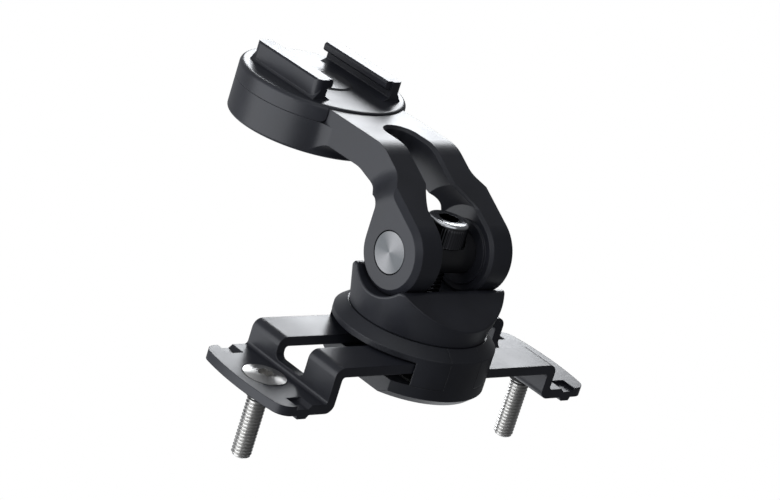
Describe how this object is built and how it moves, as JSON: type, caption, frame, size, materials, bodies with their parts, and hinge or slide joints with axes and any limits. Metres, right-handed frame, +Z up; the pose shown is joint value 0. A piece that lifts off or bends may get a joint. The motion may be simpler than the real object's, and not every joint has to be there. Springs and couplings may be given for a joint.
{
  "type": "phone mount",
  "caption": "Phone mount for a motorcycle brake or clutch reservoir: sliding slotted brackets, round clamp base, swivel collar and a tilting fork arm with a railed round head.",
  "frame": {"origin": "swivel axis at the level of the brackets' underside, which rests on the reservoir lid", "axes": "+Z up along the swivel axis and clamp screw; +X from the left bracket to the right bracket; the arm leans towards +Y"},
  "size_m": [0.083, 0.0775, 0.0629],
  "materials": {
    "black_sheet": "satin",
    "black_anodised": "matt",
    "black_base": "satin",
    "stainless": "satin",
    "bright_steel": "gloss",
    "turned_pin": "turned",
    "rubber": "matt",
    "bearing_plastic": "matt",
    "plug_plastic": "satin"
  },
  "bodies": {
    "base": {"base_cup": "black_base", "base_cap": "black_base", "lower_grip_pads": "rubber", "upper_grip_pads": "rubber", "clamp_nut": "bright_steel", "swivel_washer": "bearing_plastic"},
    "left_wing": {"left_bracket": "black_sheet", "left_screw_retainer": "rubber"},
    "right_wing": {"right_bracket": "black_sheet", "right_screw_retainer": "rubber"},
    "left_screw": {"left_reservoir_screw": "stainless"},
    "right_screw": {"right_reservoir_screw": "stainless"},
    "collar": {"swivel_collar": "black_anodised", "cross_pin": "turned_pin"},
    "clamp": {"clamp_screw": "bright_steel"},
    "arm": {"fork_arm": "black_anodised", "head_cover": "black_anodised", "head_screw": "bright_steel", "centre_plug": "plug_plastic", "head_dowels": "bright_steel"}
  },
  "joints": [
    {"name": "left_reach", "type": "slide", "parent": "base", "child": "left_wing", "axis": [-1, 0, 0], "range_m": [-0.011, 0.007]},
    {"name": "right_reach", "type": "slide", "parent": "base", "child": "right_wing", "axis": [1, 0, 0], "range_m": [-0.011, 0.007]},
    {"name": "left_screw_turn", "type": "hinge", "parent": "left_wing", "child": "left_screw", "pos_m": [-0.035, 0, 0], "axis": [0, 0, 1], "continuous": true},
    {"name": "right_screw_turn", "type": "hinge", "parent": "right_wing", "child": "right_screw", "pos_m": [0.035, 0, 0], "axis": [0, 0, 1], "continuous": true},
    {"name": "swivel", "type": "hinge", "parent": "base", "child": "collar", "pos_m": [0, 0, 0.013], "axis": [0, 0, 1], "continuous": true},
    {"name": "clamp_turn", "type": "hinge", "parent": "collar", "child": "clamp", "pos_m": [0, 0, 0.029], "axis": [0, 0, 1], "continuous": true},
    {"name": "tilt", "type": "hinge", "parent": "collar", "child": "arm", "pos_m": [0, 0, 0.0269], "axis": [1, 0, 0], "range_deg": [-30, 105]}
  ]
}
